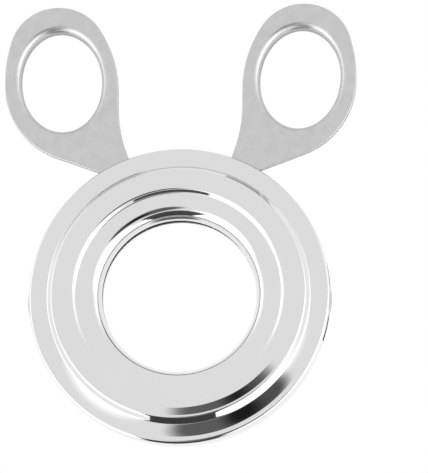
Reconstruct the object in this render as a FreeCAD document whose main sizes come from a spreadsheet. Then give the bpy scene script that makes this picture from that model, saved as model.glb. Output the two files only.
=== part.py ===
import FreeCAD, Part
import Sketcher
import math
import os
import re

# Egg topper: a ring of two pressed covers, with two toothed levers that swing inside it.
# The origin is the centre of the egg hole at mid-thickness. +Z is the front, +Y the finger loops.

document = FreeCAD.newDocument("egg_topper")

# Driving dimensions, in millimetres and degrees.
SIZES = {
    # Cover profile: widths going outwards from the egg hole.
    "hole_radius": 17.5,
    "bowl_width": 5.7,
    "inner_riser_width": 0.9,
    "crest_width": 2.3,
    "shoulder_width": 1.8,
    "ledge_width": 0.5,
    "outer_riser_width": 1.1,
    "slope_width": 2.9,
    "rim_width": 1.4,
    # Cover profile: heights going inwards from the rim.
    "rim_height": 2.1,
    "slope_rise": 1.05,
    "outer_riser_rise": 1.5,
    "shoulder_rise": 0.65,
    "inner_riser_drop": 0.7,
    # Cover profile: bends and sheet.
    "lip_round": 3.0,
    "inner_step_round": 0.8,
    "crest_round": 1.2,
    "outer_step_round": 0.7,
    "slope_round": 1.2,
    "rim_round": 0.8,
    "cover_wall": 0.6,
    "edge_round": 0.15,
    "nest_gap": 0.05,
    "crimp_width": 1.3,
    # Lever plate and arm.
    "lever_plate": 1.5,
    "plate_gap": 0.3,
    "arm_clearance": 0.6,
    "closing_angle": 10.2,
    "half_gap": 0.15,
    "neck_angle": 60.6,
    "neck_inner_height": 25.9,
    "elbow_overrun": 3.5,
    "elbow_angle": -2.0,
    "elbow_round": 12.0,
    "heel_overrun": 0.25,
    "heel_round": 14.0,
    # Teeth.
    "tooth_setback": 0.1,
    "tooth_depth": 4.6,
    "tooth_count": 8,
    "tooth_pitch": 18.5,
    # Finger loop.
    "finger_x": 27.15,
    "finger_y": 50.5,
    "finger_half_width": 9.2,
    "finger_half_height": 11.6,
    "finger_lean": 4.5,
    "outer_band": 3.6,
    "inner_band": 3.85,
    "top_band": 5.6,
    "outer_corner_drop": 1.8,
    "outer_corner_round": 18.0,
    "outer_side_height": 4.0,
    "outer_side_round": 26.0,
    "top_outer_setback": 3.3,
    "top_outer_round": 11.0,
    "top_inner_setback": 7.4,
    "top_inner_round": 11.2,
    "inner_side_height": 4.75,
    "inner_side_round": 26.5,
    "neck_bend_drop": 11.7,
    "neck_bend_round": 31.0,
    "collar_depth": 3.8,
    "collar_wall": 0.9,
    "collar_round": 0.7,
    "collar_back_round": 0.6,
    "loop_edge_round": 0.3,
    # Pivot.
    "eye_radius": 4.5,
    "eye_gap": 0.1,
    "joggle_gap": 0.4,
    "joggle_width": 1.6,
    "journal_radius": 2.0,
    "running_gap": 0.05,
    "stem_radius": 1.0,
    "stem_chamfer": 0.3,
    "spacer_radius": 3.4,
    "spacer_flange": 1.0,
    "spacer_taper": 1.2,
    "spacer_top_radius": 1.6,
    # Windows in the rim wall.
    "tongue_half_width": 1.0,
    "window_margin": 0.5,
}

sheet = document.addObject("Spreadsheet::Sheet", "sizes")
for row, (alias, value) in enumerate(SIZES.items(), start=1):
    sheet.set(f"A{row}", alias)
    sheet.set(f"B{row}", str(value))
    sheet.setAlias(f"B{row}", alias)


def derive(alias, formula):
    """A size worked out in the sheet from the driving dimensions."""
    row = len(SIZES) + 1
    SIZES[alias] = formula
    sheet.set(f"A{row}", alias)
    sheet.set(f"B{row}", "=" + formula)
    sheet.setAlias(f"B{row}", alias)


derive("pivot_reach", "hole_radius + bowl_width + inner_riser_width + crest_width / 2")
derive(
    "casing_radius",
    "hole_radius + bowl_width + inner_riser_width + crest_width + shoulder_width"
    " + ledge_width + outer_riser_width + slope_width + rim_width",
)
derive("back_radius", "casing_radius - cover_wall - nest_gap")
derive("room_radius", "back_radius - cover_wall")
derive("crest_height", "rim_height + slope_rise + outer_riser_rise + shoulder_rise")
derive("bowl_height", "crest_height - inner_riser_drop")
derive("crest_room", "crest_height - cover_wall")
derive("slot_height", "lever_plate + 2 * plate_gap")
derive("journal_height", "2 * lever_plate + 3 * eye_gap")
document.recompute()


def size(alias):
    return float(sheet.get(alias))


# Outlines


def unit(start, end):
    length = math.dist(start, end)
    return ((end[0] - start[0]) / length, (end[1] - start[1]) / length)


def bend(before, corner, after, radius):
    """Tangent length of a rounded corner, and its two unit directions."""
    come = unit(before, corner)
    go = unit(corner, after)
    cosine = max(-1.0, min(1.0, come[0] * go[0] + come[1] * go[1]))
    return radius * math.tan(math.acos(cosine) / 2), come, go


def rounded_outline(corners):
    """Lines and arcs of a closed outline. A corner is (x, y, radius) and 0 leaves it sharp."""
    count = len(corners)
    places = [corner[:2] for corner in corners]
    bends = [
        bend(places[i - 1], places[i], places[(i + 1) % count], corners[i][2]) for i in range(count)
    ]
    # A bend is limited where two neighbours would need more than the edge between them.
    shares = []
    for i in range(count):
        share = 1.0
        for other in ((i - 1) % count, (i + 1) % count):
            wanted = bends[i][0] + bends[other][0]
            if wanted > 0:
                share = min(share, math.dist(places[i], places[other]) / wanted)
        shares.append(share)
    geometry = []
    ends = []
    for (x, y, radius), (tangent, come, go), share in zip(corners, bends, shares):
        reach = tangent * share
        first = FreeCAD.Vector(x - come[0] * reach, y - come[1] * reach, 0)
        last = FreeCAD.Vector(x + go[0] * reach, y + go[1] * reach, 0)
        ends.append((first, last))
        if reach > 1e-6:
            # The arc's middle lies on the bisector, towards the inside of the bend.
            across = FreeCAD.Vector(go[0] - come[0], go[1] - come[1], 0)
            half_turn = math.atan2(tangent, radius)
            depth = radius * share * (1 / math.cos(half_turn) - 1)
            middle = FreeCAD.Vector(x, y, 0) + across.normalize() * depth
            geometry.append(Part.Arc(first, middle, last))
    for i in range(count):
        start = ends[i][1]
        stop = ends[(i + 1) % count][0]
        if start.distanceToPoint(stop) > 1e-6:
            geometry.append(Part.LineSegment(start, stop))
    return geometry


def sheet_outline(chain, wall, end_round):
    """Closed profile of a bent sheet. The chain is its outer face, and the wall lies on its right."""
    inner = []
    for i, (x, y, radius) in enumerate(chain):
        normals = []
        if i > 0:
            way = unit(chain[i - 1][:2], (x, y))
            normals.append((way[1], -way[0]))
        if i < len(chain) - 1:
            way = unit((x, y), chain[i + 1][:2])
            normals.append((way[1], -way[0]))
        first, last = normals[0], normals[-1]
        scale = wall / (1 + first[0] * last[0] + first[1] * last[1])
        turn = first[0] * last[1] - first[1] * last[0]
        inner_radius = max(radius - wall, 0.0) if turn < 0 else radius + wall
        if len(normals) == 1:
            inner_radius = end_round
        shift = ((first[0] + last[0]) * scale, (first[1] + last[1]) * scale)
        inner.append((x + shift[0], y + shift[1], inner_radius))
    return chain + inner[::-1]


def sector(inner_radius, outer_radius, start, end):
    """Outline of a ring sector between two angles in degrees."""

    def place(radius, angle):
        turn = math.radians(angle)
        return FreeCAD.Vector(radius * math.cos(turn), radius * math.sin(turn), 0)

    middle = (start + end) / 2
    return [
        Part.Arc(place(outer_radius, start), place(outer_radius, middle), place(outer_radius, end)),
        Part.LineSegment(place(outer_radius, end), place(inner_radius, end)),
        Part.Arc(place(inner_radius, end), place(inner_radius, middle), place(inner_radius, start)),
        Part.LineSegment(place(inner_radius, start), place(outer_radius, start)),
    ]


# Features


def bind(target, name, formula):
    """Bind a property to a formula of sheet sizes, whose names all have an underscore."""
    target.setExpression(name, re.sub(r"[a-z]+(_[a-z]+)+", r"sizes.\g<0>", formula))


def make_body(label):
    body = document.addObject("PartDesign::Body", label)
    body.Label = label
    return body


def make_sketch(body, name, plane, geometry=()):
    sketch = body.newObject("Sketcher::SketchObject", name)
    role = next(item for item in body.Origin.OriginFeatures if item.Role == plane)
    sketch.AttachmentSupport = [(role, "")]
    sketch.MapMode = "FlatFace"
    if geometry:
        sketch.addGeometry(list(geometry), False)
    return sketch


def draw_held_polygon(sketch, corners):
    """A closed polygon whose corners are held by sheet expressions. An x of 0 lies on the axis."""
    count = len(corners)
    for i in range(count):
        turn = 2 * math.pi * i / count
        start = FreeCAD.Vector(2 + math.cos(turn), math.sin(turn), 0)
        stop = FreeCAD.Vector(2 + math.cos(turn + 1 / count), math.sin(turn + 1 / count), 0)
        sketch.addGeometry(Part.LineSegment(start, stop), False)
    for i in range(count):
        sketch.addConstraint(Sketcher.Constraint("Coincident", i - 1 if i else count - 1, 2, i, 1))
    for i, (x, y) in enumerate(corners):
        if x == "0":
            sketch.addConstraint(Sketcher.Constraint("PointOnObject", i, 1, -2))
        else:
            held = sketch.addConstraint(Sketcher.Constraint("DistanceX", i, 1, 1.0))
            bind(sketch, f"Constraints[{held}]", x)
        held = sketch.addConstraint(Sketcher.Constraint("DistanceY", i, 1, 1.0))
        bind(sketch, f"Constraints[{held}]", y)


def add_feature(body, kind, name, sketch, length=None, **settings):
    feature = body.newObject(f"PartDesign::{kind}", name)
    feature.Profile = sketch
    for key, value in settings.items():
        setattr(feature, key, value)
    if length:
        bind(feature, "Length", length)
    return feature


def revolve(body, name, sketch):
    return add_feature(body, "Revolution", name, sketch, ReferenceAxis=(sketch, ["V_Axis"]), Angle=360)


def round_edges(body, name, radius, chosen):
    """Fillet the edges of the body's last feature that the test chooses."""
    document.recompute()
    last = body.Tip
    names = [f"Edge{i}" for i, edge in enumerate(last.Shape.Edges, start=1) if chosen(edge)]
    fillet = body.newObject("PartDesign::Fillet", name)
    fillet.Base = (last, names)
    bind(fillet, "Radius", radius)
    return fillet


# Lever outline, for the right hand

CLOSING = math.radians(size("closing_angle"))
TIP_RADIUS = size("hole_radius") + size("tooth_setback")
ROOT_RADIUS = TIP_RADIUS + size("tooth_depth")


def polar(radius, angle):
    return (radius * math.cos(math.radians(angle)), radius * math.sin(math.radians(angle)))


def limit_x(y):
    """The line that meets the middle of the tool when the lever is closed."""
    lift = y + size("pivot_reach")
    return (size("half_gap") + lift * math.sin(CLOSING)) / math.cos(CLOSING)


def crossing(start, end, radius):
    """Where a line that starts outside a circle about the origin first meets it."""
    way = unit(start, end)
    along = start[0] * way[0] + start[1] * way[1]
    step = -along - math.sqrt(along**2 - start[0] ** 2 - start[1] ** 2 + radius**2)
    return (start[0] + way[0] * step, start[1] + way[1] * step)


def first_tooth():
    """The top tooth's tip: where the limit line crosses the circle of the tips."""
    way = (math.sin(CLOSING), math.cos(CLOSING))
    start = (limit_x(-size("pivot_reach")), -size("pivot_reach"))
    along = start[0] * way[0] + start[1] * way[1]
    step = -along + math.sqrt(along**2 - start[0] ** 2 - start[1] ** 2 + TIP_RADIUS**2)
    return (start[0] + way[0] * step, start[1] + way[1] * step)


def neck_root():
    return polar(size("room_radius") - size("arm_clearance"), size("neck_angle"))


def loop_outer_corner():
    x = size("finger_x") + size("finger_half_width") + size("outer_band")
    y = size("finger_y") - size("finger_half_height") - size("outer_corner_drop")
    return (x, y)


def elbow():
    return polar(size("casing_radius") + size("elbow_overrun"), size("elbow_angle"))


def heel():
    y = -size("pivot_reach") - size("eye_radius")
    return (math.sqrt((size("room_radius") + size("heel_overrun")) ** 2 - y**2), y)


def loop_corners():
    """The finger loop, from the neck's outer side over the top to its inner side."""
    outer = size("finger_x") + size("finger_half_width") + size("outer_band")
    inner = size("finger_x") - size("finger_half_width") - size("inner_band")
    top = size("finger_y") + size("finger_half_height") + size("top_band")
    middle = size("finger_y")
    neck_y = size("neck_inner_height")
    return [
        (*neck_root(), 0),
        (*loop_outer_corner(), size("outer_corner_round")),
        (outer, middle + size("outer_side_height"), size("outer_side_round")),
        (outer - size("top_outer_setback"), top, size("top_outer_round")),
        (inner + size("top_inner_setback"), top, size("top_inner_round")),
        (inner, middle + size("inner_side_height"), size("inner_side_round")),
        (inner, middle - size("neck_bend_drop"), size("neck_bend_round")),
        (limit_x(neck_y), neck_y, 0),
    ]


def tooth_corners():
    """The toothed edge, from the half tooth at the top to the flank that meets the eye."""
    tip = first_tooth()
    start = math.degrees(math.atan2(tip[1], tip[0]))
    corners = [(*tip, 0)]
    count = round(size("tooth_count"))
    for i in range(1, count):
        corners.append((*polar(ROOT_RADIUS, start - (i - 0.5) * size("tooth_pitch")), 0))
        corners.append((*polar(TIP_RADIUS, start - i * size("tooth_pitch")), 0))
    last = corners[-1][:2]
    root = polar(ROOT_RADIUS, start - (count - 0.5) * size("tooth_pitch"))
    eye_top = size("eye_radius") - size("pivot_reach")
    share = (eye_top - last[1]) / (root[1] - last[1])
    corners.append((last[0] + share * (root[0] - last[0]), eye_top, 0))
    return corners


def eye_corners():
    radius = size("eye_radius")
    reach = size("pivot_reach")
    return [(-radius, radius - reach, radius), (-radius, -radius - reach, radius)]


def arm_corners():
    return [(*heel(), size("heel_round")), (*elbow(), size("elbow_round"))]


def lever_corners(hand):
    corners = loop_corners() + tooth_corners() + eye_corners() + arm_corners()
    return [(hand * x, y, radius) for x, y, radius in corners]


def finger_ellipse(hand, extra):
    """The finger hole's outline, or one that lies the given width outside it."""
    centre = FreeCAD.Vector(hand * size("finger_x"), size("finger_y"), 0)
    lean = math.radians(size("finger_lean"))
    up = FreeCAD.Vector(hand * math.sin(lean), math.cos(lean), 0)
    across = FreeCAD.Vector(math.cos(lean), -hand * math.sin(lean), 0)
    high = centre + up * (size("finger_half_height") + extra)
    wide = centre + across * (size("finger_half_width") + extra)
    return Part.Ellipse(high, wide, centre)


# Covers


def cover_chain(edge_radius):
    """The outer face of a cover, from the lip of the egg hole out to the edge of the rim."""
    steps = [
        ("hole_radius", "bowl_height", "lip_round"),
        ("bowl_width", "bowl_height", "inner_step_round"),
        ("inner_riser_width", "crest_height", "crest_round"),
        ("crest_width", "crest_height", "crest_round"),
    ]
    chain = [(size("hole_radius"), size("slot_height") / 2, size("edge_round"))]
    radius = 0.0
    for width, height, bend_radius in steps:
        radius += size(width)
        chain.append((radius, size(height), size(bend_radius)))
    height = size("crest_height")
    falls = [
        ("shoulder_width", "shoulder_rise", "outer_step_round"),
        ("ledge_width", None, "outer_step_round"),
        ("outer_riser_width", "outer_riser_rise", "outer_step_round"),
        ("slope_width", "slope_rise", "slope_round"),
    ]
    for width, fall, bend_radius in falls:
        radius += size(width)
        height -= size(fall) if fall else 0
        chain.append((radius, height, size(bend_radius)))
    chain.append((edge_radius, height, size("rim_round")))
    return chain


def window_sectors():
    """Openings in the rim wall for the necks and the elbows, on both sides."""
    margin = math.degrees(size("window_margin") / size("casing_radius"))
    inner = size("room_radius") - size("window_margin")
    outer = size("casing_radius") + size("window_margin")
    neck = crossing(loop_outer_corner(), neck_root(), size("casing_radius"))
    tongue = math.degrees(math.asin(size("tongue_half_width") / size("casing_radius")))
    high = crossing(elbow(), neck_root(), inner)
    low = crossing(elbow(), heel(), inner)
    spans = [
        (math.degrees(math.atan2(neck[1], neck[0])) - margin, 90 - tongue),
        (
            math.degrees(math.atan2(low[1], low[0])) - margin,
            math.degrees(math.atan2(high[1], high[0])) + margin,
        ),
    ]
    geometry = []
    for start, end in spans:
        geometry += sector(inner, outer, start, end)
        geometry += sector(inner, outer, 180 - end, 180 - start)
    return geometry


def make_cover(label, corners):
    body = make_body(label)
    profile = make_sketch(body, label + "_profile", "XZ_Plane", rounded_outline(corners))
    revolve(body, label + "_pressing", profile)
    windows = make_sketch(body, label + "_window_outline", "XY_Plane", window_sectors())
    add_feature(body, "Pocket", label + "_windows", windows, "slot_height", SideType="Symmetric")
    return body


def make_front_cover():
    """The polished front pressing. Its rim wall runs to the back and is crimped over the other."""
    edge = size("casing_radius")
    low = -size("rim_height") - size("cover_wall")
    chain = cover_chain(edge)
    chain.append((edge, low, size("rim_round")))
    chain.append((edge - size("crimp_width"), low, size("edge_round")))
    return make_cover("front_cover", sheet_outline(chain, size("cover_wall"), size("edge_round")))


def make_back_cover():
    """The back pressing. Its own wall stands inside the front cover's and holds the two apart."""
    edge = size("back_radius")
    chain = cover_chain(edge)
    chain.append((edge, size("cover_wall") - size("rim_height"), size("edge_round")))
    corners = sheet_outline(chain, size("cover_wall"), size("edge_round"))
    return make_cover("back_cover", [(x, -y, radius) for x, y, radius in corners])


# Levers


def make_lever(label, hand):
    """A stamped lever. The right hand's eye is set forwards and the left hand's backwards."""
    body = make_body(label)
    bent = make_sketch(body, label + "_side_view", "XZ_Plane")
    eye_low = "eye_gap / 2"
    eye_high = "(eye_gap / 2 + lever_plate)"
    far = "(finger_x + finger_half_width + outer_band + eye_radius)"
    stations = [
        ("-(eye_radius + joggle_gap)", eye_low),
        ("(eye_radius + joggle_gap)", eye_low),
        ("(eye_radius + joggle_gap + joggle_width)", "-lever_plate / 2"),
        (far, "-lever_plate / 2"),
        (far, "lever_plate / 2"),
        ("(eye_radius + joggle_gap + joggle_width)", "lever_plate / 2"),
        ("(eye_radius + joggle_gap)", eye_high),
        ("-(eye_radius + joggle_gap)", eye_high),
    ]
    sign = "1 * " if hand > 0 else "-1 * "
    draw_held_polygon(bent, [(sign + f"({x})", sign + f"({y})") for x, y in stations])
    reach = "2 * (finger_y + finger_half_height + top_band + eye_radius)"
    add_feature(body, "Pad", label + "_sheet", bent, reach, SideType="Symmetric")

    # Everything outside the outline is cut away.
    corners = lever_corners(hand)
    margin = size("eye_radius")
    low_x = min(-margin, min(x for x, _, _ in corners)) - 2 * margin
    high_x = max(margin, max(x for x, _, _ in corners)) + 2 * margin
    high_y = max(y for _, y, _ in corners) + 2 * margin
    frame = [(low_x, -high_y, 0), (high_x, -high_y, 0), (high_x, high_y, 0), (low_x, high_y, 0)]
    blank = rounded_outline(frame) + rounded_outline(corners)
    outline = make_sketch(body, label + "_outline", "XY_Plane", blank)
    add_feature(body, "Pocket", label + "_blanking", outline, "4 * lever_plate", SideType="Symmetric")

    # The finger hole's edge is drawn to the back as a collar.
    collar = make_sketch(
        body, label + "_collar_outline", "XY_Plane", [finger_ellipse(hand, size("collar_wall"))]
    )
    bind(collar, "AttachmentOffset.Base.z", "lever_plate / 2")
    add_feature(body, "Pad", label + "_collar", collar, "collar_depth", Reversed=True)
    hole = make_sketch(body, label + "_finger_outline", "XY_Plane", [finger_ellipse(hand, 0)])
    add_feature(body, "Pocket", label + "_finger_hole", hole, "4 * collar_depth", SideType="Symmetric")

    pivot = make_sketch(body, label + "_eye_outline", "XY_Plane")
    circle = Part.Circle(FreeCAD.Vector(0, -size("pivot_reach"), 0), FreeCAD.Vector(0, 0, 1), 1.0)
    pivot.addGeometry(circle, False)
    pivot.addConstraint(Sketcher.Constraint("PointOnObject", 0, 3, -2))
    held = pivot.addConstraint(Sketcher.Constraint("DistanceY", 0, 3, -size("pivot_reach")))
    bind(pivot, f"Constraints[{held}]", "-pivot_reach")
    held = pivot.addConstraint(Sketcher.Constraint("Radius", 0, 1.0))
    bind(pivot, f"Constraints[{held}]", "journal_radius + running_gap")
    add_feature(body, "Pocket", label + "_eye", pivot, "4 * lever_plate", SideType="Symmetric")

    front = size("lever_plate") / 2
    hole_reach = size("finger_half_height") + size("collar_wall")
    centre = FreeCAD.Vector(hand * size("finger_x"), size("finger_y"), 0)

    def at_height(edge, height):
        box = edge.BoundBox
        return abs(box.ZMin - height) < 1e-4 and abs(box.ZMax - height) < 1e-4

    def round_hole(edge):
        middle = FreeCAD.Vector(edge.BoundBox.Center.x, edge.BoundBox.Center.y, 0)
        return middle.distanceToPoint(centre) < 1 and edge.BoundBox.YLength < 2.1 * hole_reach

    def outside_casing(edge):
        radii = [math.hypot(vertex.X, vertex.Y) for vertex in edge.Vertexes]
        return edge.BoundBox.YMin > 0 and max(radii) > size("casing_radius")

    round_edges(
        body,
        label + "_collar_bend",
        "collar_round",
        lambda edge: round_hole(edge) and at_height(edge, front),
    )
    round_edges(
        body,
        label + "_collar_root",
        "collar_back_round",
        lambda edge: round_hole(edge) and at_height(edge, -front) and edge.BoundBox.YLength > 1,
    )
    round_edges(
        body,
        label + "_loop_edges",
        "loop_edge_round",
        lambda edge: not round_hole(edge)
        and outside_casing(edge)
        and (at_height(edge, front) or at_height(edge, -front)),
    )
    return body


# Pivot


def make_pivot_pin():
    """The turned pin that both levers swing on. Its ends are welded inside the two crests."""
    body = make_body("pivot_pin")
    profile = make_sketch(body, "pin_profile", "XZ_Plane")
    narrow = "(stem_radius - stem_chamfer)"
    half = [
        ("0", "crest_room"),
        (narrow, "crest_room"),
        ("stem_radius", "(crest_room - stem_chamfer)"),
        ("stem_radius", "journal_height / 2"),
        ("journal_radius", "journal_height / 2"),
    ]
    draw_held_polygon(profile, half + [(x, "-1 * " + y) for x, y in reversed(half)])
    revolve(body, "pin_turning", profile)
    bind(body, "Placement.Base.y", "-pivot_reach")
    return body


def make_spacer(label, flip):
    """A turned collar pressed on the pin. It holds the lever eyes at mid-thickness."""
    body = make_body(label)
    profile = make_sketch(body, label + "_profile", "XZ_Plane")
    base = "journal_height / 2"
    flange = "(journal_height / 2 + spacer_flange)"
    top = "(journal_height / 2 + spacer_flange + spacer_taper)"
    corners = [
        ("stem_radius", base),
        ("spacer_radius", base),
        ("spacer_radius", flange),
        ("spacer_top_radius", top),
        ("stem_radius", top),
    ]
    draw_held_polygon(profile, corners)
    revolve(body, label + "_turning", profile)
    body.Placement.Rotation = FreeCAD.Rotation(FreeCAD.Vector(1, 0, 0), flip)
    bind(body, "Placement.Base.y", "-pivot_reach")
    return body


bodies = [
    make_front_cover(),
    make_back_cover(),
    make_lever("right_lever", 1),
    make_lever("left_lever", -1),
    make_pivot_pin(),
    make_spacer("front_spacer", 0),
    make_spacer("back_spacer", 180),
]
document.recompute()

for item in document.Objects:
    if "Invalid" in item.State or "Error" in item.State:
        raise RuntimeError(f"{item.Name} failed: {item.State}")
for body in bodies:
    shape = body.Shape
    if shape.isNull() or not shape.isValid() or len(shape.Solids) != 1:
        raise RuntimeError(f"{body.Label} has no single valid solid")

os.makedirs("parts", exist_ok=True)
for body in bodies:
    body.Shape.exportStep(f"parts/{body.Label}.step")
    box = body.Shape.BoundBox
    measured = f"{box.XLength:.2f} x {box.YLength:.2f} x {box.ZLength:.2f}"
    print(body.Label, f"volume {body.Shape.Volume:.1f}", measured)
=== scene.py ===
import bpy
import bmesh
import math
from mathutils import Matrix, Vector


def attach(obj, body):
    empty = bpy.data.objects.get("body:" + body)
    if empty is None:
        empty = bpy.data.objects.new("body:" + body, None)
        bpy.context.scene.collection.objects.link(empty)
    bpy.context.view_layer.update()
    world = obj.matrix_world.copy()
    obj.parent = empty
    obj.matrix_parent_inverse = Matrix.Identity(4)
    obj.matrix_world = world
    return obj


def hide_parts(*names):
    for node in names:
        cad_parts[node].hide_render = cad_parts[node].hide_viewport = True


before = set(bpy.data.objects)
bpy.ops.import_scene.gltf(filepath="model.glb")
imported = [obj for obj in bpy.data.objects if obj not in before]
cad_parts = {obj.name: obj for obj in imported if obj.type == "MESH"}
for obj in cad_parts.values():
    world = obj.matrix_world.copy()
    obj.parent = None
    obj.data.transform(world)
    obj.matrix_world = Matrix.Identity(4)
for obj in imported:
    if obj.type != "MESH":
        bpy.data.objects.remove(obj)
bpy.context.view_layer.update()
MM = 0.001
SAME_POINT = 0.0001  # millimetres
SHARP_ANGLE = math.radians(40)


# Shader maths: one wrapped socket, so that formulas read as formulas.
class Wire:
    def __init__(self, tree, socket):
        self.tree = tree
        self.socket = socket

    def node(self, kind, into=0, out=0, settings=None, **inputs):
        """A new node that takes this wire, with its settings and its other inputs."""
        made = self.tree.nodes.new(kind)
        for name, value in (settings or {}).items():
            setattr(made, name, value)
        for name, value in inputs.items():
            self.feed(made.inputs[name.replace("_", " ")], value)
        self.feed(made.inputs[into], self)
        return Wire(self.tree, made.outputs[out])

    def feed(self, target, value):
        if isinstance(value, Wire):
            self.tree.links.new(value.socket, target)
        else:
            target.default_value = value

    def maths(self, operation, other):
        made = self.tree.nodes.new("ShaderNodeMath")
        made.operation = operation
        for target, value in zip(made.inputs, (self, other)):
            self.feed(target, value)
        return Wire(self.tree, made.outputs[0])

    def __add__(self, other):
        return self.maths("ADD", other)

    def __mul__(self, other):
        return self.maths("MULTIPLY", other)


def new_material(name, colour, roughness):
    """A metal with uniform values on its sockets, and the wire of its object coordinates."""
    material = bpy.data.materials.new(name)
    material.use_nodes = True
    shader = material.node_tree.nodes["Principled BSDF"]
    shader.inputs["Base Color"].default_value = (*colour, 1)
    shader.inputs["Metallic"].default_value = 1
    shader.inputs["Roughness"].default_value = roughness
    place = material.node_tree.nodes.new("ShaderNodeTexCoord")
    return material, shader, Wire(material.node_tree, place.outputs["Object"])


def link(wire, target):
    wire.tree.links.new(wire.socket, target)


# Polished stainless steel of the two covers: nearly a mirror, with faint wiping haze.
polished, shader, place = new_material("polished_steel", (0.71, 0.71, 0.71), 0.06)
haze = place.node("ShaderNodeTexNoise", into="Vector", Scale=140.0, Detail=3.0)
cloud = place.node("ShaderNodeTexNoise", into="Vector", Scale=38.0, Detail=2.0)
link(haze * cloud * 0.11 + 0.035, shader.inputs["Roughness"])
tone = cloud * 0.03 + 0.695
grey = tone.node("ShaderNodeCombineColor", into="Red", Green=tone, Blue=tone)
link(grey, shader.inputs["Base Color"])
swell = place.node("ShaderNodeTexNoise", into="Vector", Scale=90.0, Detail=1.0)
bump = swell.node("ShaderNodeBump", into="Height", Strength=0.12, Distance=0.00004)
link(bump, shader.inputs["Normal"])

# The covers' inner faces are dull, as left from the rolling mill, and painted dark: the dark
# stands in for the shade in the room between the covers.
shaded_inside, _, _ = new_material("shaded_inner_steel", (0.16, 0.16, 0.16), 0.5)

# Satin stainless steel of the levers: tumbled after stamping, with a soft mottle in its sheen.
satin, shader, place = new_material("satin_steel", (0.58, 0.58, 0.58), 0.3)
shader.inputs["Specular Tint"].default_value = (0.5, 0.5, 0.5, 1)
mottle = place.node("ShaderNodeTexNoise", into="Vector", Scale=420.0, Detail=4.0)
grain = place.node("ShaderNodeTexNoise", into="Vector", Scale=2600.0, Detail=2.0)
link(mottle * 0.16 + grain * 0.1 + 0.2, shader.inputs["Roughness"])
tone = mottle * 0.13 + grain * 0.1 + 0.45
grey = tone.node("ShaderNodeCombineColor", into="Red", Green=tone, Blue=tone)
link(grey, shader.inputs["Base Color"])
pitted = mottle * 0.6 + grain
bump = pitted.node("ShaderNodeBump", into="Height", Strength=0.22, Distance=0.00002)
link(bump, shader.inputs["Normal"])

# Turned steel of the hidden pin and its spacers: fine rings from the lathe tool.
turned, shader, place = new_material("turned_steel", (0.56, 0.56, 0.55), 0.32)
grain = place.node("ShaderNodeTexNoise", into="Vector", Scale=900.0, Detail=2.0)
link(grain * 0.2 + 0.24, shader.inputs["Roughness"])


# Front cover: one pressing of polished stainless sheet, from the lip of the hole over the crest
# and the steps to the rim. Its wall runs to the back and is crimped over the back cover.
SHEET = 0.6
END_RADIUS = 0.15
COLUMNS = 480
PRESSED = [
    (17.5, 1.05, END_RADIUS),
    (17.5, 4.6, 3.5),
    (23.2, 4.6, 0.8),
    (24.1, 5.3, 1.2),
    (26.4, 5.3, 1.2),
    (28.2, 4.65, 0.7),
    (28.7, 4.65, 0.7),
    (29.8, 3.15, 0.7),
    (32.7, 2.1, 1.2),
]
# The windows for the two necks and the two elbows, as angles in degrees. Their faces are looked
# for outside one radius, and the wall is split at their height outside another.
WINDOWS = [(57.19, 88.32), (91.68, 122.81), (167.19, 197.96), (342.04, 372.81)]
WINDOW_HALF = 1.05 * MM
WINDOW_FACES_FROM = 32.5 * MM
SPLIT_FROM = 33 * MM
ROOM_RADIUS = 27 * MM


def rounded_chain(corners, steps=8):
    """Points round a closed chain of (x, y, radius) corners, with an arc at each bend.

    An arc of a quarter turn has as many pieces as there are steps.
    """
    points = []
    count = len(corners)
    for i, (x, y, radius) in enumerate(corners):
        corner = Vector((x, y))
        if radius == 0:
            points.append(corner)
            continue
        come = (corner - Vector(corners[i - 1][:2])).normalized()
        go = (Vector(corners[(i + 1) % count][:2]) - corner).normalized()
        turn = come.angle(go)
        tangent = radius * math.tan(turn / 2)
        across = (go - come).normalized()
        centre = corner + across * (radius / math.cos(turn / 2))
        first = corner - come * tangent - centre
        side = 1 if come.cross(go) > 0 else -1
        pieces = max(2, math.ceil(steps * turn / (math.pi / 2)))
        for k in range(pieces + 1):
            angle = side * turn * k / pieces
            spun = Matrix.Rotation(angle, 2) @ first
            points.append(centre + spun)
    return points


def sheet_section(chain):
    """Corners of a bent sheet's closed section. The chain is its outer face."""
    inner = []
    for i, (x, y, radius) in enumerate(chain):
        normals = []
        for start, stop in ((i - 1, i), (i, i + 1)):
            if start >= 0 and stop < len(chain):
                way = (Vector(chain[stop][:2]) - Vector(chain[start][:2])).normalized()
                normals.append(Vector((way.y, -way.x)))
        first, last = normals[0], normals[-1]
        shift = (first + last) * (SHEET / (1 + first.dot(last)))
        bend = max(radius - SHEET, 0) if first.cross(last) < 0 else radius + SHEET
        inner.append((x + shift.x, y + shift.y, END_RADIUS if len(normals) == 1 else bend))
    return chain + inner[::-1]


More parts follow.
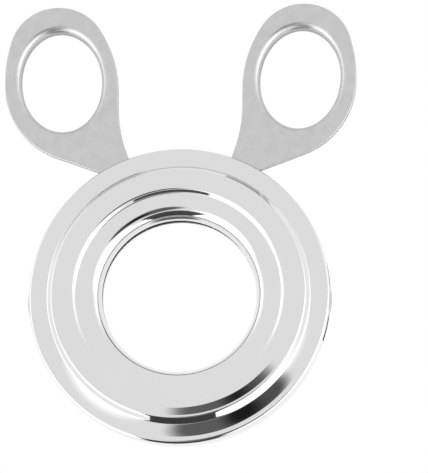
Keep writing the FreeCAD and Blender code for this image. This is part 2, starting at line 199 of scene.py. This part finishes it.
def press_cover(name, corners):
    """Spin a section in millimetres about Z, and cut the windows through its upright wall."""
    mesh = bmesh.new()
    near = SAME_POINT * MM
    section = [Vector((p.x, 0, p.y)) * MM for p in rounded_chain(corners)]
    cleaned = [p for i, p in enumerate(section) if (p - section[i - 1]).length > near]
    # The wall's two faces get an edge at the top and the bottom of the windows.
    split = []
    for i, point in enumerate(cleaned):
        before = cleaned[i - 1]
        if point.x > SPLIT_FROM and before.x > SPLIT_FROM:
            crossed = []
            for height in (-WINDOW_HALF, WINDOW_HALF):
                if (before.z - height) * (point.z - height) < 0:
                    share = (height - before.z) / (point.z - before.z)
                    crossed.append((share, before.lerp(point, share)))
            split += [place for _, place in sorted(crossed, key=lambda item: item[0])]
        split.append(point)
    verts = [mesh.verts.new(point) for point in split]
    edges = [mesh.edges.new((verts[i - 1], verts[i])) for i in range(len(verts))]
    bmesh.ops.spin(
        mesh,
        geom=verts + edges,
        cent=(0, 0, 0),
        axis=(0, 0, 1),
        angle=2 * math.pi,
        steps=COLUMNS,
        use_merge=True,
    )
    bmesh.ops.remove_doubles(mesh, verts=mesh.verts, dist=near)
    # The columns nearest to a window's two ends are turned to stand exactly there.
    pitch = 360 / COLUMNS
    ends = [angle for window in WINDOWS for angle in window]
    for vert in mesh.verts:
        angle = math.degrees(math.atan2(vert.co.y, vert.co.x)) % 360
        for end in ends:
            gap = (end % 360 - angle + 180) % 360 - 180
            nearest = round(end / pitch) * pitch
            if abs((nearest % 360 - angle + 180) % 360 - 180) < pitch / 4:
                vert.co.rotate(Matrix.Rotation(math.radians(gap), 3, "Z"))
                break

    def in_window(face, start, stop):
        middle = face.calc_center_median()
        angle = math.degrees(math.atan2(middle.y, middle.x)) % 360
        return (
            math.hypot(middle.x, middle.y) >= WINDOW_FACES_FROM
            and abs(middle.z) <= WINDOW_HALF
            and abs(face.normal.z) < 0.5
            and (angle - start) % 360 < (stop - start) % 360
        )

    for window in WINDOWS:
        inside = [face for face in mesh.faces if in_window(face, *window)]
        rim = {
            edge
            for face in inside
            for edge in face.edges
            if sum(other in inside for other in edge.link_faces) == 1
        }
        bmesh.ops.delete(mesh, geom=inside, context="FACES")
        rim = [edge for edge in rim if edge.is_valid]
        bmesh.ops.bridge_loops(mesh, edges=rim)
    loose = [edge for edge in mesh.edges if not edge.link_faces]
    bmesh.ops.delete(mesh, geom=loose, context="EDGES")
    bmesh.ops.recalc_face_normals(mesh, faces=mesh.faces)
    # A face that looks towards the room between the covers is an inner one, and takes the steel
    # painted dark for the shade there.
    for face in mesh.faces:
        middle = face.calc_center_median()
        room = Vector((middle.x, middle.y, 0)).normalized() * ROOM_RADIUS
        face.material_index = int(face.normal.dot(room - middle) > 0)
    data = bpy.data.meshes.new(name)
    mesh.to_mesh(data)
    mesh.free()
    data.shade_smooth()
    data.set_sharp_from_angle(angle=SHARP_ANGLE)
    data.materials.append(polished)
    data.materials.append(shaded_inside)
    piece = bpy.data.objects.new(name, data)
    bpy.context.collection.objects.link(piece)
    return piece


front_chain = PRESSED + [(34.1, 2.1, 0.8), (34.1, -2.7, 0.8), (32.8, -2.7, END_RADIUS)]
front_cover = press_cover("front_cover_pressing", sheet_section(front_chain))
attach(front_cover, "casing")
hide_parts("front_cover")

# Back cover: the same polished stainless pressing, turned over and a wall smaller. It is seated
# inside the front cover's wall, and the crimp holds it there.
back_chain = PRESSED + [(33.45, 2.1, 0.8), (33.45, -1.5, END_RADIUS)]
section = [(x, -y, radius) for x, y, radius in sheet_section(back_chain)]
back_cover = press_cover("back_cover_pressing", section)
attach(back_cover, "casing")
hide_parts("back_cover")

# Right lever: stamped from 1.5 mm stainless plate and tumbled to a satin sheen. It swings on the
# pin by its eye, which is set forwards, and its teeth lie inside the casing. The finger hole's
# edge is drawn to the back as a collar.
PLATE_HALF = 0.75
EDGE_ROUND = 0.28
BORE_RADIUS = 2.05
BORE_POINTS = 64
EYE_HEIGHT = -25.25
SET_OVER = 0.8
SLOPE = (4.9, 6.5)
TIP_RADIUS = 17.6
ROOT_RADIUS = 22.2
FIRST_TIP = (7.556, 15.896)
TOOTH_COUNT = 8
TOOTH_PITCH = 18.5
FINGER_CENTRE = Vector((27.15, 50.5))
FINGER_HALF = (9.2, 11.6)
FINGER_LEAN = -4.5
FINGER_POINTS = 112
COLLAR_BEND = 1.7
COLLAR_WALL = 0.9
COLLAR_END = -3.05
FOOT_ROUND = 0.25
ROOT_BEND = 0.6
LOOP = [
    (15.832, 28.097, 0),
    (39.95, 37.1, 18.0),
    (39.95, 54.5, 26.0),
    (36.65, 67.7, 11.0),
    (21.5, 67.7, 11.2),
    (14.1, 55.25, 26.5),
    (14.1, 38.8, 31.0),
    (9.356, 25.9, 0),
]
EYE_AND_ARM = [
    (6.212, -20.75, 0),
    (-4.5, -20.75, 4.5),
    (-4.5, -29.75, 4.5),
    (14.51, -29.75, 14.0),
    (37.577, -1.312, 12.0),
]


def polar(radius, angle):
    return (radius * math.cos(math.radians(angle)), radius * math.sin(math.radians(angle)), 0)


def tooth_row():
    """Tips and roots of the teeth, clockwise from the half tooth at the top."""
    first = math.degrees(math.atan2(FIRST_TIP[1], FIRST_TIP[0]))
    row = [polar(TIP_RADIUS, first)]
    for i in range(1, TOOTH_COUNT):
        row.append(polar(ROOT_RADIUS, first - (i - 0.5) * TOOTH_PITCH))
        row.append(polar(TIP_RADIUS, first - i * TOOTH_PITCH))
    return row


def finger_ring(outside, height):
    """Points of an even offset from the finger hole's ellipse."""
    lean = Matrix.Rotation(math.radians(FINGER_LEAN), 2)
    ring = []
    for k in range(FINGER_POINTS):
        turn = 2 * math.pi * k / FINGER_POINTS
        flat = Vector((FINGER_HALF[0] * math.cos(turn), FINGER_HALF[1] * math.sin(turn)))
        normal = Vector((FINGER_HALF[1] * math.cos(turn), FINGER_HALF[0] * math.sin(turn)))
        spot = FINGER_CENTRE + lean @ (flat + normal.normalized() * outside)
        ring.append((spot.x, spot.y, height))
    return ring


def quarter(centre, radius, start, stop, steps):
    """Points (outside, height) of an arc between two angles in degrees."""
    turns = [math.radians(start + (stop - start) * k / steps) for k in range(steps + 1)]
    return [(centre[0] + radius * math.cos(t), centre[1] + radius * math.sin(t)) for t in turns]


def stamp_lever(name, hand):
    """The lever of one hand, 1 for the right and -1 for the left, with its eye set over."""
    mesh = bmesh.new()

    def loop_of(points):
        return [mesh.verts.new((x * hand * MM, y * MM, z * MM)) for x, y, z in points]

    def skin(loops):
        for one, two in zip(loops, loops[1:]):
            for i in range(len(one)):
                mesh.faces.new((one[i - 1], one[i], two[i], two[i - 1]))

    def edges_of(loop):
        return [mesh.edges.get((loop[i - 1], loop[i])) for i in range(len(loop))]

    # The outline's rings go over the rounded front edge, down the side and round the back edge.
    outline = rounded_chain(LOOP + tooth_row() + EYE_AND_ARM, steps=26)
    outline = [p for i, p in enumerate(outline) if (p - outline[i - 1]).length > SAME_POINT]
    inward = []
    for i, point in enumerate(outline):
        come = (point - outline[i - 1]).normalized()
        go = (outline[(i + 1) % len(outline)] - point).normalized()
        come, go = Vector((-come.y, come.x)), Vector((-go.y, go.x))
        inward.append((come + go) / (1 + come.dot(go)))
    rounded = quarter((EDGE_ROUND, PLATE_HALF - EDGE_ROUND), EDGE_ROUND, 90, 180, 5)
    side = rounded + [(inset, -height) for inset, height in reversed(rounded)]
    rings = [
        loop_of([(*(p + way * inset), height) for p, way in zip(outline, inward)])
        for inset, height in side
    ]
    skin(rings)

    # The collar's rings go from the front bend down the hole, round its foot and up to the back.
    bend = quarter((COLLAR_BEND, PLATE_HALF - COLLAR_BEND), COLLAR_BEND, 90, 180, 12)
    foot_height = COLLAR_END + FOOT_ROUND
    foot = quarter((FOOT_ROUND, foot_height), FOOT_ROUND, 180, 270, 4)
    foot += quarter((COLLAR_WALL - FOOT_ROUND, foot_height), FOOT_ROUND, 270, 360, 4)
    root = quarter((COLLAR_WALL + ROOT_BEND, -PLATE_HALF - ROOT_BEND), ROOT_BEND, 180, 90, 5)
    collar = [loop_of(finger_ring(outside, z)) for outside, z in bend + foot + root]
    skin(collar)

    # The eye's bore.
    turns = [2 * math.pi * k / BORE_POINTS for k in range(BORE_POINTS)]
    circle = [(BORE_RADIUS * math.cos(t), BORE_RADIUS * math.sin(t) + EYE_HEIGHT) for t in turns]
    bore = [loop_of([(x, y, z) for x, y in circle]) for z in (PLATE_HALF, -PLATE_HALF)]
    skin(bore)
    for k, up in ((0, 1), (-1, -1)):
        borders = edges_of(rings[k]) + edges_of(collar[k]) + edges_of(bore[k])
        bmesh.ops.triangle_fill(
            mesh, edges=borders, use_beauty=True, use_dissolve=False, normal=(0, 0, up)
        )

    # The eye is set over by a little more than half the plate, through a short slope.
    for x in SLOPE:
        bmesh.ops.bisect_plane(
            mesh,
            geom=mesh.verts[:] + mesh.edges[:] + mesh.faces[:],
            dist=1e-8,
            plane_co=(x * hand * MM, 0, 0),
            plane_no=(1, 0, 0),
        )
    bmesh.ops.recalc_face_normals(mesh, faces=mesh.faces)
    mesh.normal_update()
    mesh.faces.ensure_lookup_table()

    def on_plate(face):
        """True on the plate's front and back, and false on the collar's foot."""
        height = face.calc_center_median().z / MM
        return abs(face.normal.z) > 0.9999 and abs(height) > 0.7 and height > -1

    flat = [on_plate(face) for face in mesh.faces]
    for vert in mesh.verts:
        share = (SLOPE[1] - vert.co.x * hand / MM) / (SLOPE[1] - SLOPE[0])
        vert.co.z += hand * SET_OVER * min(max(share, 0), 1) * MM
    data = bpy.data.meshes.new(name)
    mesh.to_mesh(data)
    mesh.free()
    data.shade_smooth()
    data.set_sharp_from_angle(angle=SHARP_ANGLE)

    # The flats shade flat, and the bends start from the flats' own direction.
    facing = {}
    for polygon, is_flat in zip(data.polygons, flat):
        if is_flat:
            for corner in polygon.vertices:
                facing[corner] = polygon.normal.copy()
    normals = [Vector(item.vector) for item in data.corner_normals]
    for polygon, is_flat in zip(data.polygons, flat):
        for index in polygon.loop_indices:
            corner = data.loops[index].vertex_index
            if is_flat:
                normals[index] = polygon.normal.copy()
            elif corner in facing and polygon.normal.dot(facing[corner]) > 0.8:
                normals[index] = facing[corner]
    data.normals_split_custom_set(normals)
    piece = bpy.data.objects.new(name, data)
    bpy.context.collection.objects.link(piece)
    piece.data.materials.append(satin)
    return piece


right_lever = stamp_lever("right_lever_stamping", 1)
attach(right_lever, "right_swing")
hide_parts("right_lever")

# Left lever: the right one's mirror image, of the same satin plate. It swings on the same pin,
# and its eye is set backwards, behind the other's.
left_lever = stamp_lever("left_lever_stamping", -1)
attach(left_lever, "left_swing")
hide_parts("left_lever")

# Pivot pin and its two spacers: turned steel, hidden in the ring. The pin stands between the two
# crests, and a spacer is pressed on each of its ends.
for name in ("pivot_pin", "front_spacer", "back_spacer"):
    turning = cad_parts[name]
    turning.data.materials.clear()
    turning.data.materials.append(turned)

# Floor: a plain pale table that the back crest lies just above. It is white to the camera, as
# the photograph's background is.
FLOOR_HEIGHT = -5.4 * MM
bpy.ops.mesh.primitive_plane_add(size=3, location=(0, 0, FLOOR_HEIGHT))
floor = bpy.context.object
floor.name = "floor"
paper = bpy.data.materials.new("paper")
paper.use_nodes = True
tree = paper.node_tree
shader = tree.nodes["Principled BSDF"]
shader.inputs["Base Color"].default_value = (0.93, 0.93, 0.93, 1)
shader.inputs["Roughness"].default_value = 0.9
glow = tree.nodes.new("ShaderNodeEmission")
path = tree.nodes.new("ShaderNodeLightPath")
seen = Wire(tree, path.outputs["Is Camera Ray"])
mixed = tree.nodes.new("ShaderNodeMixShader")
link(seen, mixed.inputs["Fac"])
tree.links.new(shader.outputs["BSDF"], mixed.inputs[1])
tree.links.new(glow.outputs["Emission"], mixed.inputs[2])
tree.links.new(mixed.outputs["Shader"], tree.nodes["Material Output"].inputs["Surface"])
floor.data.materials.append(paper)
floor.visible_glossy = False

# Dark card on the near side, out of the picture: it widens and rises away from the ring, and
# only the polished steps see it.
corners = [
    (-0.014, -0.055, -0.005),
    (0.014, -0.055, -0.005),
    (0.24, -0.45, 0.42),
    (-0.27, -0.45, 0.42),
]
card_mesh = bpy.data.meshes.new("dark_card")
card_mesh.from_pydata(corners, [], [(0, 1, 2, 3)])
card = bpy.data.objects.new("dark_card", card_mesh)
bpy.context.collection.objects.link(card)
black = bpy.data.materials.new("black_card")
black.use_nodes = True
shader = black.node_tree.nodes["Principled BSDF"]
shader.inputs["Base Color"].default_value = (0.03, 0.03, 0.03, 1)
shader.inputs["Roughness"].default_value = 0.8
card.data.materials.append(black)
for kind in ("camera", "diffuse", "shadow", "transmission"):
    setattr(card, "visible_" + kind, False)

# Surroundings: a white light tent, brighter to the left and right, with three darker places on
# the near side that the polished steps pick up.
world = bpy.data.worlds.new("tent")
bpy.context.scene.world = world
world.use_nodes = True
tree = world.node_tree
backdrop = tree.nodes["Background"]
way = Wire(tree, tree.nodes.new("ShaderNodeTexCoord").outputs["Generated"])


def lobe(azimuth, off_zenith, core, edge):
    """1 inside a cone about a direction and 0 outside it, all in degrees."""
    flat = math.sin(math.radians(off_zenith))
    axis = Vector((
        flat * math.cos(math.radians(azimuth)),
        flat * math.sin(math.radians(azimuth)),
        math.cos(math.radians(off_zenith)),
    ))
    along = way.node("ShaderNodeVectorMath", out="Value", settings={"operation": "DOT_PRODUCT"})
    along.socket.node.inputs[1].default_value = axis
    return along.node(
        "ShaderNodeMapRange",
        settings={"interpolation_type": "SMOOTHSTEP"},
        From_Min=math.cos(math.radians(edge)),
        From_Max=math.cos(math.radians(core)),
    )


def dimming(amount, *cone):
    """A factor of 1 that falls by an amount inside a cone."""
    return lobe(*cone) * -amount + 1


up_share = way.node("ShaderNodeSeparateXYZ", out="Z")
low_sky = up_share.node(
    "ShaderNodeMapRange",
    settings={"interpolation_type": "SMOOTHSTEP"},
    From_Min=math.cos(math.radians(52)),
    From_Max=math.cos(math.radians(80)),
)
near_sky = low_sky * dimming(1, 90, 85, 42, 75)
above = up_share.node("ShaderNodeMapRange", From_Min=-0.05, From_Max=0.01)
tent = near_sky * above * 0.8 + (above * -1 + 1) * 0.12
for azimuth in (-138, -20):
    tent = tent + lobe(azimuth, 63, 20, 33) * 0.8
steps_dark = dimming(0.9, -48, 30, 8, 14) * dimming(0.86, -76, 29, 10, 17)
floor_dark = dimming(0.85, -92, 112, 14, 24)
backdrop.inputs["Color"].default_value = (1, 1, 1, 1)
link((tent + 1.0) * steps_dark * floor_dark, backdrop.inputs["Strength"])

# Camera: nearly overhead, leaning to the near side and a little to the right. It stands far off,
# so its view is close to a parallel one.
CAMERA_DISTANCE = 2.5
FRAME_WIDTH = 0.0967
camera_data = bpy.data.cameras.new("camera")
camera = bpy.data.objects.new("camera", camera_data)
bpy.context.collection.objects.link(camera)
target = Vector((7.9, 13.5, 2.1)) * MM
back = Vector((0.085, -0.225, 1)).normalized()
across = Vector((1, -0.016, 0))
right = (across - back * back.dot(across)).normalized()
up = back.cross(right)
turn = Matrix((right, up, back)).transposed().to_4x4()
camera.matrix_world = Matrix.Translation(target + back * CAMERA_DISTANCE) @ turn
camera_data.sensor_fit = "HORIZONTAL"
camera_data.lens = camera_data.sensor_width * CAMERA_DISTANCE / FRAME_WIDTH
bpy.context.scene.camera = camera
bpy.context.scene.view_settings.view_transform = "Standard"
